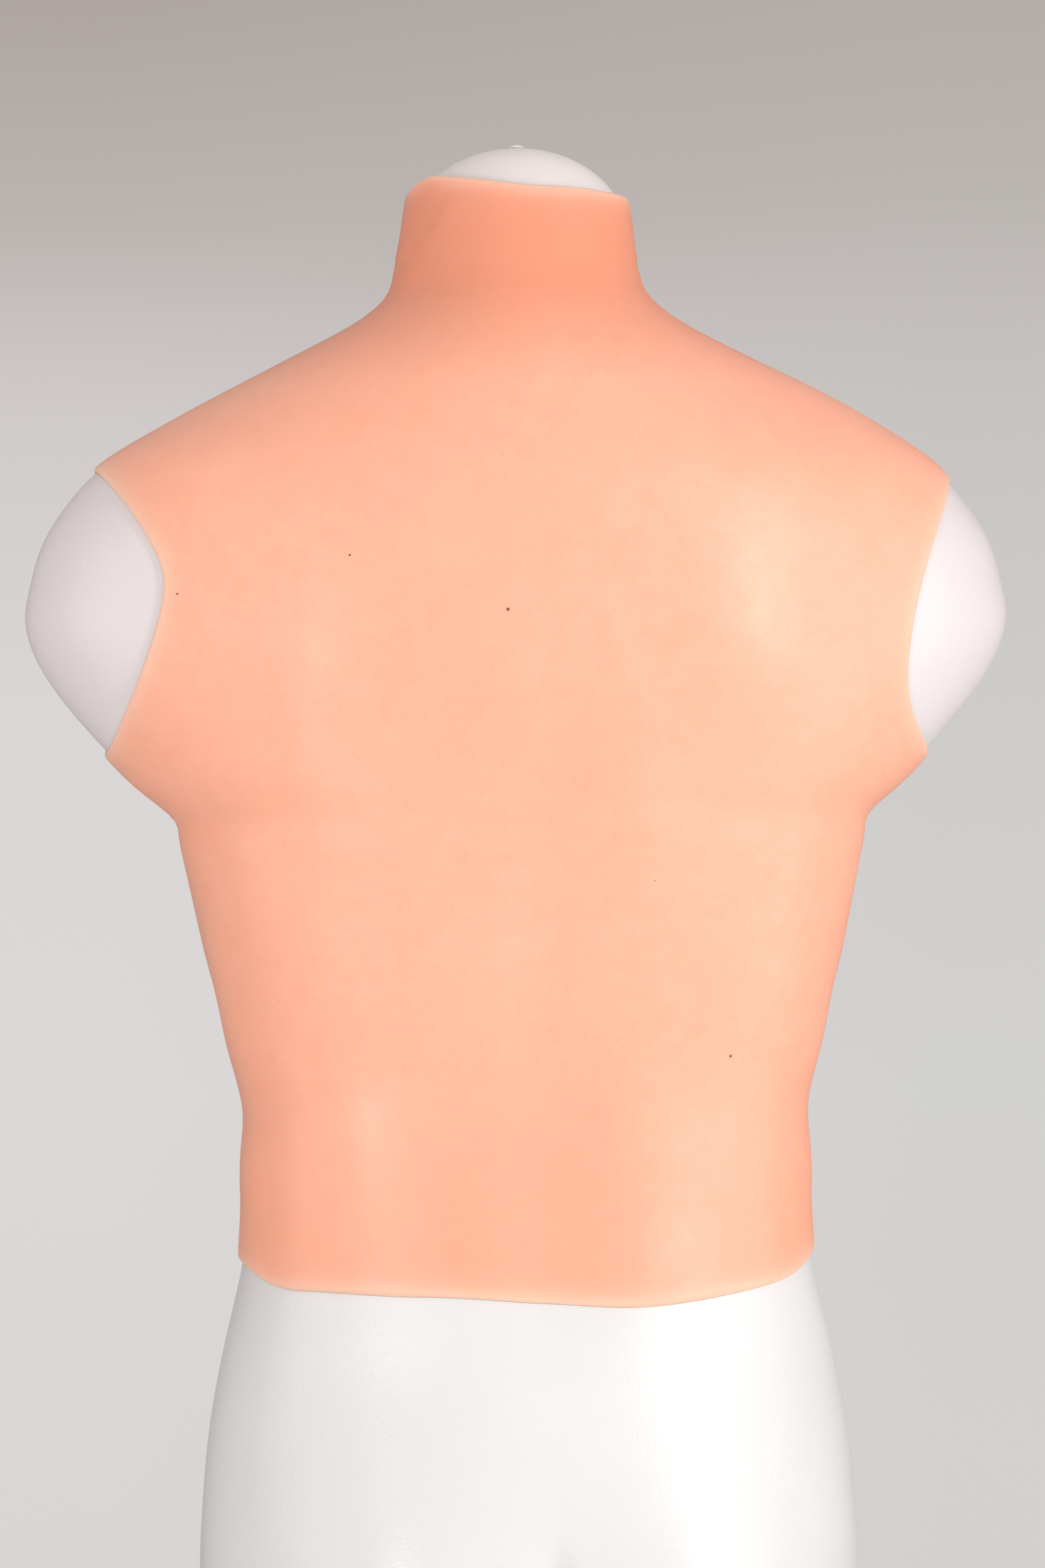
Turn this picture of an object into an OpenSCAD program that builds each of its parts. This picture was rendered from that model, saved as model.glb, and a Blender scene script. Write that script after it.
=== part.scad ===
// Torso mannequin: a hollow white form in two bonded shells, dressed in a moulded silicone skin,
// carried by a telescopic pole on a weighted round base.
// The origin is on the floor under the pole. +Z is up, the chest faces -Y and the back faces +Y.

/* [Form] */
// Height of the form, from its cut base to the top of the neck
torso_h = 790; // [700:5:860]
// Width over the two arm stumps
shoulder_w = 480; // [420:5:540]
// Depth of the trunk at the chest
chest_d = 206; // [180:2:240]
// Wall thickness of the two shells
wall = 3; // [2:0.5:5]

/* [Skin] */
// Thickness of the silicone skin
skin_t = 3.4; // [2:0.5:6]
// Height of the hem above the form's cut base
hem_h = 240; // [225:1:255]
// Height of the collar's edge above the form's cut base
collar_h = 771; // [769:1:776]

/* [Stand] */
// Height of the form's cut base above the floor, with the pole fully down
form_z = 550; // [420:5:700]
// Travel of the telescopic pole
travel = 300; // [150:10:320]
// Diameter of the sliding pole
pole_d = 25; // [22:0.5:28]
// Diameter of the fixed tube
tube_d = 32; // [32:0.5:38]
// Diameter of the base
base_d = 380; // [340:5:450]

/* [Hidden] */
$fn = 64;

// ---- Colours ----
form_white = [0.95, 0.94, 0.93];
skin_peach = [0.94, 0.68, 0.53];
board_tan = [0.76, 0.62, 0.42];
steel = [0.78, 0.79, 0.80];
nylon = [0.90, 0.90, 0.86];
tape_grey = [0.80, 0.80, 0.74];
knob_black = [0.08, 0.08, 0.09];
iron = [0.30, 0.30, 0.31];

// ---- The form's surface ----
// Each row holds: height, half width, reach to the front, reach to the back, squareness.
// The figures are for a form 790 high, 480 wide and 206 deep.
nominal = [790, 480, 206];
stations = [
    [0, 146, 84, 82, 2.3], [40, 155, 87, 95, 2.3], [100, 160, 89, 105, 2.25],
    [143, 158, 91, 104, 2.2], [175, 154.5, 92, 99, 2.2], [204, 149, 93, 93, 2.2],
    [229, 143, 94, 88, 2.35], [250, 138, 95, 84, 2.45], [275, 136, 95, 80, 2.55],
    [300, 135, 96, 77, 2.6], [322, 134, 96, 76, 2.6], [340, 137, 97, 76, 2.6],
    [365, 143, 98, 79, 2.6], [391, 149, 100, 82, 2.6], [430, 157.5, 102, 88, 2.5],
    [456, 163.5, 104, 92, 2.4], [467, 165.5, 105, 93, 2.34], [482, 183.5, 106, 95, 2.12],
    [495, 197.5, 107, 96, 1.98], [518, 218, 108, 97, 1.9], [533, 229, 108, 98, 1.88],
    [546, 236, 108, 98, 1.88], [562, 240, 107, 98, 1.88], [582, 236.5, 103, 98, 1.9],
    [597, 232, 98, 98, 1.9], [609, 225.5, 92, 98, 1.9], [623, 215, 84, 97, 1.9],
    [634, 204, 76, 95, 1.87], [651, 175, 66, 90, 1.8], [664, 151, 60, 85, 1.8],
    [677, 126, 56, 79, 1.8], [690, 101, 53, 72, 1.85], [703, 77, 51, 65, 1.9],
    [716, 61, 50, 59, 2], [729, 56, 50, 54.5, 2], [742, 54, 50, 50.5, 2],
    [755, 53, 50.5, 47.5, 2], [768, 51.5, 51, 45.5, 2], [790, 50, 51, 44, 2],
];
// Soft relief, in mirrored pairs: distance from the middle, height, the two spreads and how far it swells.
back_relief = [
    [92, 556, 42, 60, 5], [124, 478, 34, 60, 2.2], [112, 520, 20, 44, 1.4], [36, 330, 24, 110, 1.2],
    [74, 92, 52, 58, 13],
];
front_relief = [
    [74, 572, 50, 36, 9], [40, 350, 26, 90, 3], [125, 330, 40, 60, -2],
];
// The dome that closes the neck
dome_h0 = 753;
dome_b = nominal[0] - dome_h0;
hole_r = 3.8;
plug_r = 3;

grow = [shoulder_w / nominal[1], chest_d / nominal[2], torso_h / nominal[0]];

// Cubic interpolation in a table of rows whose first entry is the height
function segment(t, h, i = 0) =
    (i >= len(t) - 2 || h < t[i + 1][0]) ? i : segment(t, h, i + 1);
function slope(t, c, i) =
    let (a = max(i - 1, 0), b = min(i + 1, len(t) - 1))
    (t[b][c] - t[a][c]) / (t[b][0] - t[a][0]);
function cubic(t, c, h) =
    let (i = segment(t, h), d = t[i + 1][0] - t[i][0], u = (h - t[i][0]) / d,
         m0 = slope(t, c, i) * d, m1 = slope(t, c, i + 1) * d)
    (2*u*u*u - 3*u*u + 1) * t[i][c] + (u*u*u - 2*u*u + u) * m0
    + (3*u*u - 2*u*u*u) * t[i + 1][c] + (u*u*u - u*u) * m1;

function smooth(u) = let (v = min(1, max(0, u))) v * v * (3 - 2 * v);
function swell(list, x, h) =
    len(list) == 0 ? 0 : [for (g = list)
        g[4] * exp(-pow((abs(x) - g[0]) / g[2], 2) - pow((h - g[1]) / g[3], 2))] * [for (g = list) 1];
// The furrow down the spine, and the cleft below it
function furrow(x, h) =
    -1.2 * exp(-pow(x / 26, 2)) * smooth((h - 170) / 90) * smooth((650 - h) / 90)
    - 20 * exp(-pow(x / 12, 2)) * smooth((160 - h) / 70);

// One horizontal section: [height, half width, front, back, squareness, dome factor]
function section(h, dome) =
    let (k = dome && h > dome_h0 ? sqrt(max(0, 1 - pow((h - dome_h0) / dome_b, 2))) : 1)
    [h, cubic(stations, 1, h) * k, cubic(stations, 2, h) * k, cubic(stations, 3, h) * k,
     cubic(stations, 4, h), k];

// A point of the nominal surface, a degrees round from +X
function on_section(s, a) =
    let (c = cos(a), q = sin(a), e = 2 / s[4], x = s[1] * sign(c) * pow(abs(c), e),
         side = pow(abs(q), e),
         y = q >= 0 ? s[3] * side + (swell(back_relief, x, s[0]) + furrow(x, s[0])) * side * s[5]
                    : -s[2] * side - swell(front_relief, x, s[0]) * side * s[5])
    [x * grow[0], y * grow[1], s[0] * grow[2]];

// A section with the sections just below and above it, which give the surface's slope
step_h = 0.05;
function band(h, dome) = [for (d = [-step_h, 0, step_h]) section(h + d, dome)];
// A point that stands t outside the surface
function outside(b, a, t) =
    let (p = on_section(b[1], a),
         n = cross(on_section(b[1], a + 1) - on_section(b[1], a - 1),
                   on_section(b[2], a) - on_section(b[0], a)))
    p + t * n / norm(n);

// Closed solid between two grids of points of the same size. cells says which cells are filled, turned
// which are cut along their other diagonal, and around whether the last column meets the first.
module between(outer, inner, cells, turned, around = false) {
    rows = len(outer);
    cols = len(outer[0]);
    function at(i, j, layer) = layer * rows * cols + i * cols + j % cols;
    function kept(i, j) =
        let (k = around ? (j + cols) % cols : j)
        i >= 0 && i < rows - 1 && k >= 0 && k < (around ? cols : cols - 1) && cells[i][k];
    function side(a, b, c, d, turn) = turn ? [[a, b, d], [b, c, d]] : [[a, b, c], [a, c, d]];
    polyhedron(
        points = concat([for (r = outer) each r], [for (r = inner) each r]),
        faces = [for (i = [0 : rows - 2], j = [0 : cols - 1]) if (kept(i, j)) each concat(
            side(at(i, j, 0), at(i + 1, j, 0), at(i + 1, j + 1, 0), at(i, j + 1, 0), turned[i][j]),
            side(at(i, j + 1, 1), at(i + 1, j + 1, 1), at(i + 1, j, 1), at(i, j, 1), turned[i][j]),
            kept(i - 1, j) ? [] : edge(at(i, j, 0), at(i, j + 1, 0), at(i, j, 1), at(i, j + 1, 1)),
            kept(i + 1, j) ? []
                : edge(at(i + 1, j + 1, 0), at(i + 1, j, 0), at(i + 1, j + 1, 1), at(i + 1, j, 1)),
            kept(i, j - 1) ? [] : edge(at(i + 1, j, 0), at(i, j, 0), at(i + 1, j, 1), at(i, j, 1)),
            kept(i, j + 1) ? []
                : edge(at(i, j + 1, 0), at(i + 1, j + 1, 0), at(i, j + 1, 1), at(i + 1, j + 1, 1))
        )]
    );
}
function all_cells(rows, cols) = [for (i = [1 : rows]) [for (j = [1 : cols]) true]];
// The diagonals mirror each other left and right, and lie along the folds of the armpits and the shoulders
function turns(heights, angles) = [for (h = heights) [for (a = angles) ((a + 1) % 180 > 90) == (h < 560)]];
// The two triangles that join an outer edge a-b to its inner edge c-d
function edge(a, b, c, d) = [[a, b, d], [a, d, c]];

// ---- The two shells ----
// The skin's two armholes, by height, and half the width between their edges at the narrowest
armhole_low = 497;
armhole_high = 634;
armhole_waist = 178;
// Heights of the rows of points: closer together at the armpits, the shoulders and the neck
trunk_rows = concat(
    [for (h = [0 : 24 : 240]) h], [260, 282, 304, 326, 348, 370, 392, 414, 432, 446, 457, 467, 476, 486],
    [for (k = [0 : 12]) armhole_low + (armhole_high - armhole_low) * k / 12],
    [643, 653, 664, 676, 689, 703, 718, 735, 753]
);
shell_rows = concat(
    trunk_rows, [for (k = [1 / 3, 0.6, 0.8, 0.92, 0.98]) dome_h0 + dome_b * k],
    [dome_h0 + dome_b * sqrt(1 - pow(hole_r / 51, 2))]
);
// Angles of a shell's columns from its side seam: closer together over the spine and the cleft
quarter = [0, 10, 19, 28, 37, 46, 55, 64, 72, 79, 85];
shell_angles = concat(quarter, [90], [for (k = [len(quarter) - 1 : -1 : 0]) 180 - quarter[k]]);

module half_shell(from) {
    bands = [for (h = shell_rows) band(h, true)];
    angles = [for (a = shell_angles) from + a];
    // The floor of the shell and the plug hole are cut square, so the inside ends level with the outside there
    outer = [for (b = bands) [for (a = angles) outside(b, a, 0)]];
    inner = [for (i = [0 : len(bands) - 1]) [for (j = [0 : len(angles) - 1])
        let (p = outside(bands[i], angles[j], -wall))
        i == 0 ? [p[0], p[1], 0]
        : i == len(bands) - 1 ? outer[i][j] - [0, 0, wall] : p]];
    translate([0, 0, form_z])
        between(outer, inner, all_cells(len(bands), len(angles)), turns(shell_rows, angles));
}
module form_back_shell() {
    color(form_white) difference() {
        half_shell(0);
        rim_holes(0);
    }
}
module form_front_shell() {
    color(form_white) difference() {
        half_shell(180);
        rim_holes(180);
    }
}

// Resin and mat strips laid inside the shells, over the two side seams
tape_t = 1.4;
module seam_tape() {
    rows = [for (i = [1 : 41]) shell_rows[i]];
    bands = [for (h = rows) band(h, true)];
    angles = [for (j = [-1 : 1]) 360 + quarter[1] * j];
    function lay(side, t) = [for (b = bands) [for (a = angles) outside(b, side + a, t)]];
    color(tape_grey) translate([0, 0, form_z]) for (side = [0, 180])
        between(lay(side, -wall - 0.3), lay(side, -wall - 0.3 - tape_t),
                all_cells(len(bands), 3), turns(rows, angles));
}

// ---- The silicone skin ----
skin_gap = 1.8;
fan = 8;      // columns that cross an armhole
panel = 18;   // columns on the back, and on the front, between the armholes
skin_rows = concat([hem_h], [for (h = trunk_rows) if (h > hem_h + 6) h], [dome_h0 + dome_b / 3, collar_h]);
function armhole_row(h) = h >= armhole_low - 0.01 && h <= armhole_high + 0.01;
// Half width between the armhole edges: narrowest at the middle of the hole
function armhole_x(h) =
    let (u = (h - armhole_low) / (armhole_high - armhole_low))
    armhole_waist + 22 * pow(abs(2 * u - 1.02), 2.2);
function fan_angle(h) =
    armhole_row(h) ? max(5, acos(min(1, armhole_x(h) / cubic(stations, 1, h)))) :
    let (d = h < armhole_low ? armhole_low - h : h - armhole_high) 5 + 17 * smooth(d / 60);
// Angles of one row's columns: right fan, back, left fan, front
function skin_angles(h) =
    let (f = fan_angle(h), span = 180 - 2 * f)
    concat([for (k = [0 : fan - 1]) -f + 2 * f * k / fan], [for (k = [0 : panel - 1]) f + span * k / panel],
           [for (k = [0 : fan - 1]) 180 - f + 2 * f * k / fan], [for (k = [0 : panel - 1]) 180 + f + span * k / panel]);

module silicone_skin() {
    bands = [for (h = skin_rows) band(h, false)];
    grid = function (t) [for (i = [0 : len(bands) - 1])
        [for (a = skin_angles(skin_rows[i])) outside(bands[i], a, t)]];
    cells = [for (i = [0 : len(bands) - 2]) let (open = armhole_row(skin_rows[i]) && armhole_row(skin_rows[i + 1]))
        [for (j = [0 : 2 * (fan + panel) - 1]) !(open && j % (fan + panel) < fan)]];
    color(skin_peach) translate([0, 0, form_z]) between(
        grid(skin_gap + skin_t), grid(skin_gap), cells, 
        turns(skin_rows, [for (a = skin_angles(560)) a + 360]), true);
}

// ---- Small parts of the form ----
module neck_plug() {
    color(form_white) translate([0, 0, form_z + torso_h]) {
        translate([0, 0, -6]) cylinder(r = plug_r, h = 6.2);
        rotate_extrude() intersection() {
            translate([0, -4.2]) circle(r = 6);
            translate([0, 0.15]) square([6, 3]);
        }
    }
}

// Outline of the form's inside at a height
function inside_outline(h, clear) =
    let (b = band(h, false), all = concat(shell_angles, [for (a = shell_angles) a + 180]))
    [for (a = all) if (a != 180 && a != 360) let (p = outside(b, a, -wall - clear)) [p[0], p[1]]];

sleeve_r = pole_d / 2 + 2.6;
board_t = 15;
board_h0 = 8;
sleeve_top = 262;
waist_board_h = 236;

// A board whose outline fits the form where it is narrowest over the board's thickness
module board(h, t, narrow_h) {
    color(board_tan) difference() {
        translate([0, 0, form_z + h]) linear_extrude(t) polygon(inside_outline(narrow_h / grow[2], 1.8));
        translate([0, 0, form_z + h - 1]) cylinder(r = sleeve_r + 0.1, h = t + 2);
        children();
    }
}
module bottom_board() {
    board(board_h0, board_t, board_h0 - 1) union() {
        for (k = [0 : 3]) rotate(45 + 90 * k)
            translate([flange_pcd / 2, 0, form_z + board_h0 - 1]) cylinder(r = 2.4, h = 14);
        for (a = rim_angles) at_rim(a) translate([0, 0, -rim_screw_l - 1]) cylinder(r = 2, h = rim_screw_l);
    }
}
module waist_board() { board(waist_board_h, 12, waist_board_h + 13); }

// Screws through the form's rim, three to a shell, hold the bottom board. Each head sits in a spot face.
rim_angles = [28, 90, 152, 208, 270, 332];
rim_screw_l = 20;
rim_sink = 1.2;
module at_rim(a) {
    b = band((board_h0 + board_t / 2) / grow[2], true);
    p = outside(b, a, 0);
    d = outside(b, a, 1) - p;
    translate([p[0], p[1], form_z + p[2]]) rotate(atan2(d[1], d[0])) rotate([0, 90, 0]) children();
}
module rim_holes(from) {
    for (a = rim_angles) if (a > from && a < from + 180) at_rim(a) {
        translate([0, 0, -10]) cylinder(r = 2.1, h = 20);
        translate([0, 0, -rim_sink]) cylinder(r = 4.6, h = 10);
    }
}
module rim_screws() {
    color(steel) for (a = rim_angles) at_rim(a) translate([0, 0, -rim_sink]) {
        translate([0, 0, -rim_screw_l + 1.2]) cylinder(r = 1.9, h = rim_screw_l);
        translate([0, 0, 0.05]) cross_head(4.2, 1.85);
    }
}
// Screw head with a cross recess
module cross_head(r, h) {
    difference() {
        cylinder(r = r, h = h);
        translate([-0.62 * r, -0.13 * r, h / 2]) cube([1.24 * r, 0.26 * r, h]);
        translate([-0.13 * r, -0.62 * r, h / 2]) cube([0.26 * r, 1.24 * r, h]);
    }
}

// ---- The socket that takes the pole ----
flange_r = 46;
flange_t = 4;
flange_pcd = 70;
boss_r = 20;
boss_h = 40;
screw_r = 4;
socket_screw_z = form_z + board_h0 - flange_t - 24;

module support_sleeve() {
    color(steel) translate([0, 0, form_z + board_h0]) difference() {
        cylinder(r = sleeve_r, h = sleeve_top - board_h0);
        translate([0, 0, -1]) cylinder(r = pole_d / 2 + 0.4, h = sleeve_top + 2);
    }
}
pole_top = form_z + 250;
module sleeve_cup() {
    color(nylon) translate([0, 0, pole_top + 5]) {
        cylinder(r = pole_d / 2 + 0.3, h = sleeve_top - 255);
        translate([0, 0, sleeve_top - 255]) cylinder(r = sleeve_r + 3, h = 5);
    }
}
module socket_flange() {
    top = form_z + board_h0;
    color(steel) difference() {
        union() {
            translate([0, 0, top - flange_t]) cylinder(r = flange_r, h = flange_t);
            translate([0, 0, top - flange_t - boss_h]) cylinder(r = boss_r, h = boss_h);
            translate([0, 0, socket_screw_z]) rotate([-90, 0, 0]) cylinder(r = 9, h = boss_r + 6);
        }
        translate([0, 0, top - boss_h - 10]) cylinder(r = pole_d / 2 + 0.08, h = boss_h + 20);
        translate([0, 0, socket_screw_z]) rotate([-90, 0, 0]) cylinder(r = screw_r + 0.1, h = 40);
        for (k = [0 : 3]) rotate(45 + 90 * k)
            translate([flange_pcd / 2, 0, top - flange_t - 1]) cylinder(r = 2.75, h = flange_t + 2);
    }
}
module flange_screws() {
    color(steel) for (k = [0 : 3]) rotate(45 + 90 * k)
        translate([flange_pcd / 2, 0, form_z + board_h0 - flange_t]) {
            rotate([180, 0, 0]) cross_head(4.6, 2.8);
            cylinder(r = 2.3, h = 16);
        }
}

// A thumb screw along +Y at height z, whose tip stops just short of the pole
knob_r = 17;
knob_t = 15;
module thumb_screw(z, reach) {
    color(steel) translate([0, pole_d / 2 + 0.3, z]) rotate([-90, 0, 0]) {
        cylinder(r = 2.6, h = 2);
        translate([0, 0, 2]) cylinder(r = screw_r, h = reach - pole_d / 2 - 2.3 + 10);
    }
}
// Its six-lobed knob, with a raised hub towards the boss
module star_knob(z, reach) {
    color(knob_black) translate([0, reach, z]) rotate([-90, 0, 0]) difference() {
        union() {
            cylinder(r = 8.5, h = 4);
            translate([0, 0, 4]) linear_extrude(knob_t - 4) difference() {
                circle(r = knob_r);
                for (k = [0 : 5]) rotate(60 * k) translate([knob_r + 3.2, 0]) circle(r = 5.6);
            }
            translate([0, 0, knob_t]) cylinder(r1 = 8.5, r2 = 6.5, h = 2);
        }
        translate([0, 0, -1]) cylinder(r = screw_r, h = 11);
    }
}
socket_reach = boss_r + 7;
module socket_screw() { thumb_screw(socket_screw_z, socket_reach); }
module socket_knob() { star_knob(socket_screw_z, socket_reach); }

// ---- The telescopic pole ----
tube_top = form_z - 56;
tube_z0 = 19;
pole_bottom = tube_top - travel - 135;
bore_r = tube_d / 2 - 2;

module sliding_pole() {
    color(steel) translate([0, 0, pole_bottom]) difference() {
        cylinder(r = pole_d / 2, h = pole_top - pole_bottom);
        translate([0, 0, -1]) cylinder(r = pole_d / 2 - 2, h = pole_top - pole_bottom + 2);
    }
}
module pole_top_plug() {
    color(nylon) translate([0, 0, pole_top]) {
        translate([0, 0, -18]) cylinder(r = pole_d / 2 - 2.05, h = 18);
        cylinder(r = pole_d / 2, h = 3);
        translate([0, 0, 3]) cylinder(r1 = pole_d / 2, r2 = pole_d / 2 - 1.5, h = 1.7);
    }
}
module pole_glide() {
    color(nylon) translate([0, 0, pole_bottom]) {
        cylinder(r = pole_d / 2 - 2.05, h = 18);
        translate([0, 0, -14]) cylinder(r = bore_r - 0.08, h = 14);
    }
}
collar_h0 = 62;
collar_screw_z = tube_top - 42;
module fixed_tube() {
    color(steel) difference() {
        translate([0, 0, tube_z0]) cylinder(r = tube_d / 2, h = tube_top - tube_z0);
        translate([0, 0, tube_z0 - 1]) cylinder(r = bore_r, h = tube_top);
        translate([0, 0, collar_screw_z]) rotate([-90, 0, 0]) cylinder(r = screw_r + 0.4, h = 40);
    }
}
module guide_bush() {
    color(nylon) difference() {
        union() {
            translate([0, 0, tube_top - 28]) cylinder(r = bore_r - 0.05, h = 28);
            translate([0, 0, tube_top]) cylinder(r = tube_d / 2 + 1.5, h = 3);
        }
        translate([0, 0, tube_top - 30]) cylinder(r = pole_d / 2 + 0.08, h = 40);
    }
}
collar_r = tube_d / 2 + 6;
module height_collar() {
    color(steel) difference() {
        union() {
            translate([0, 0, tube_top - collar_h0]) cylinder(r = collar_r, h = collar_h0 + 6);
            translate([0, 0, collar_screw_z]) rotate([-90, 0, 0]) cylinder(r = 9, h = collar_r + 6);
        }
        translate([0, 0, tube_top - collar_h0 - 1]) cylinder(r = tube_d / 2 + 0.05, h = collar_h0 + 1);
        translate([0, 0, tube_top - 1]) cylinder(r = tube_d / 2 + 1.6, h = 4.1);
        translate([0, 0, tube_top]) cylinder(r = pole_d / 2 + 0.5, h = 20);
        translate([0, 0, collar_screw_z]) rotate([-90, 0, 0]) cylinder(r = screw_r + 0.1, h = 60);
    }
}
collar_reach = collar_r + 7;
module collar_screw() { thumb_screw(collar_screw_z, collar_reach); }
module collar_knob() { star_knob(collar_screw_z, collar_reach); }

// ---- The weighted base ----
pad_t = 3;
weight_t = 12;
hub_r = 22;
cover_t = 1.2;
module tube_insert() {
    color(steel) translate([0, 0, tube_z0]) difference() {
        cylinder(r = bore_r - 0.05, h = 24);
        translate([0, 0, -1]) cylinder(r = 6.05, h = 26);
    }
}
module tube_hub() {
    color(steel) difference() {
        union() {
            translate([0, 0, pad_t + weight_t]) cylinder(r = 36, h = 4);
            translate([0, 0, tube_z0]) cylinder(r = hub_r, h = 24);
            translate([0, 0, tube_z0 + 24]) cylinder(r1 = hub_r, r2 = hub_r - 3, h = 3);
        }
        translate([0, 0, tube_z0]) cylinder(r = tube_d / 2 + 0.05, h = 40);
        translate([0, 0, pad_t + weight_t - 1]) cylinder(r = 6.3, h = 8);
    }
}
// Half profile of the cover: a rolled rim, a shallow cone and a flat round the hub
module cover_profile(inset) {
    edge_r = 9 - inset;
    offset_r = base_d / 2 - inset;
    polygon(concat(
        [[offset_r, pad_t]],
        [for (a = [0 : 15 : 75]) [base_d / 2 - 9 + edge_r * cos(a), pad_t + 6 + edge_r * sin(a)]],
        [[hub_r + 22, 29 - inset], [hub_r + 0.3, 29 - inset], [hub_r + 0.3, pad_t]]
    ));
}
module base_cover() {
    color(form_white) rotate_extrude($fn = 128) difference() {
        cover_profile(0);
        translate([0, -0.01]) cover_profile(cover_t);
        square([hub_r + 0.3 + cover_t, 29 - cover_t]);
        square([base_d / 2 - cover_t, pad_t + 1]);
    }
}
module base_weight() {
    color(iron) translate([0, 0, pad_t]) difference() {
        cylinder(r = base_d / 2 - 8, h = weight_t);
        translate([0, 0, -1]) cylinder(r = 13, h = 8.5);
        translate([0, 0, 5]) cylinder(r = 6.3, h = 10);
    }
}
module base_pad() {
    color(knob_black) difference() {
        cylinder(r = base_d / 2 - 4, h = pad_t);
        translate([0, 0, -1]) cylinder(r = base_d / 2 - 44, h = pad_t + 2);
    }
}
module base_washer() {
    color(steel) translate([0, 0, pad_t + 5.5]) difference() {
        cylinder(r = 12, h = 2);
        translate([0, 0, -1]) cylinder(r = 6.3, h = 4);
    }
}
module base_bolt() {
    color(steel) translate([0, 0, pad_t - 2]) {
        cylinder(r = 10.5, h = 7.5, $fn = 6);
        cylinder(r = 5.95, h = 38);
    }
}

form_back_shell();
form_front_shell();
seam_tape();
neck_plug();
silicone_skin();
bottom_board();
waist_board();
rim_screws();
support_sleeve();
sleeve_cup();
socket_flange();
flange_screws();
socket_knob();
socket_screw();
sliding_pole();
pole_top_plug();
pole_glide();
fixed_tube();
guide_bush();
height_collar();
collar_knob();
collar_screw();
tube_insert();
tube_hub();
base_cover();
base_weight();
base_pad();
base_bolt();
base_washer();
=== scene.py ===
"""White torso mannequin in a moulded silicone skin, on a telescopic pole with a weighted round base."""

import math

import bpy
import numpy as np
from mathutils import Matrix, Vector


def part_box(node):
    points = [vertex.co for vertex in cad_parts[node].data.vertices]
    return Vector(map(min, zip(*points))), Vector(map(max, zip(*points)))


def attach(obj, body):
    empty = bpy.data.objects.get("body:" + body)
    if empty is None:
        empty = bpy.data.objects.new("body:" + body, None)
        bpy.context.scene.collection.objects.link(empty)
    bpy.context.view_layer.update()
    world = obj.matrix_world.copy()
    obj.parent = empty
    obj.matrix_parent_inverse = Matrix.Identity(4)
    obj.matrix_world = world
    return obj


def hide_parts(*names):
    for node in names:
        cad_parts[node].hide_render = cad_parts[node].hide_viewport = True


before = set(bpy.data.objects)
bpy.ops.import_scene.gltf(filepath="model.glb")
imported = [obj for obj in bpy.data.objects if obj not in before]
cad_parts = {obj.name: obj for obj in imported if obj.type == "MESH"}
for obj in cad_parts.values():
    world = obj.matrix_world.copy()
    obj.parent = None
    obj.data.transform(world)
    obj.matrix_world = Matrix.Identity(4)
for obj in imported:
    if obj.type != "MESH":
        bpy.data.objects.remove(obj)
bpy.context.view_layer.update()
MM = 0.001

# ---------------------------------------------------------------- the torso's surface
# Heights are in millimetres above the form's cut base. Angles are in radians, from +X towards the back.
FORM_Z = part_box("form_back_shell")[0].z / MM
# height, half width, reach to the front, reach to the back, squareness
STATIONS = np.array([
    (0, 146, 84, 82, 2.3), (40, 155, 87, 95, 2.3), (100, 160, 89, 105, 2.25),
    (143, 158, 91, 104, 2.2), (175, 154.5, 92, 99, 2.2), (204, 149, 93, 93, 2.2),
    (229, 143, 94, 88, 2.35), (250, 138, 95, 84, 2.45), (275, 136, 95, 80, 2.55),
    (300, 135, 96, 77, 2.6), (322, 134, 96, 76, 2.6), (340, 137, 97, 76, 2.6),
    (365, 143, 98, 79, 2.6), (391, 149, 100, 82, 2.6), (430, 157.5, 102, 88, 2.5),
    (456, 163.5, 104, 92, 2.4), (467, 165.5, 105, 93, 2.34), (482, 183.5, 106, 95, 2.12),
    (495, 197.5, 107, 96, 1.98), (518, 218, 108, 97, 1.9), (533, 229, 108, 98, 1.88),
    (546, 236, 108, 98, 1.88), (562, 240, 107, 98, 1.88), (582, 236.5, 103, 98, 1.9),
    (597, 232, 98, 98, 1.9), (609, 225.5, 92, 98, 1.9), (623, 215, 84, 97, 1.9),
    (634, 204, 76, 95, 1.87), (651, 175, 66, 90, 1.8), (664, 151, 60, 85, 1.8),
    (677, 126, 56, 79, 1.8), (690, 101, 53, 72, 1.85), (703, 77, 51, 65, 1.9),
    (716, 61, 50, 59, 2.0), (729, 56, 50, 54.5, 2.0), (742, 54, 50, 50.5, 2.0),
    (755, 53, 50.5, 47.5, 2.0), (768, 51.5, 51, 45.5, 2.0), (790, 50, 51, 44, 2.0),
])
DOME_START, DOME_RISE = 753.0, 37.0
GRID_H = np.arange(-60.0, 861.0)


def smooth01(u):
    """0 below 0, 1 above 1, and a smooth ramp between."""
    u = np.clip(u, 0, 1)
    return u * u * (3 - 2 * u)


def bell(u):
    return np.exp(-u * u)


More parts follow.
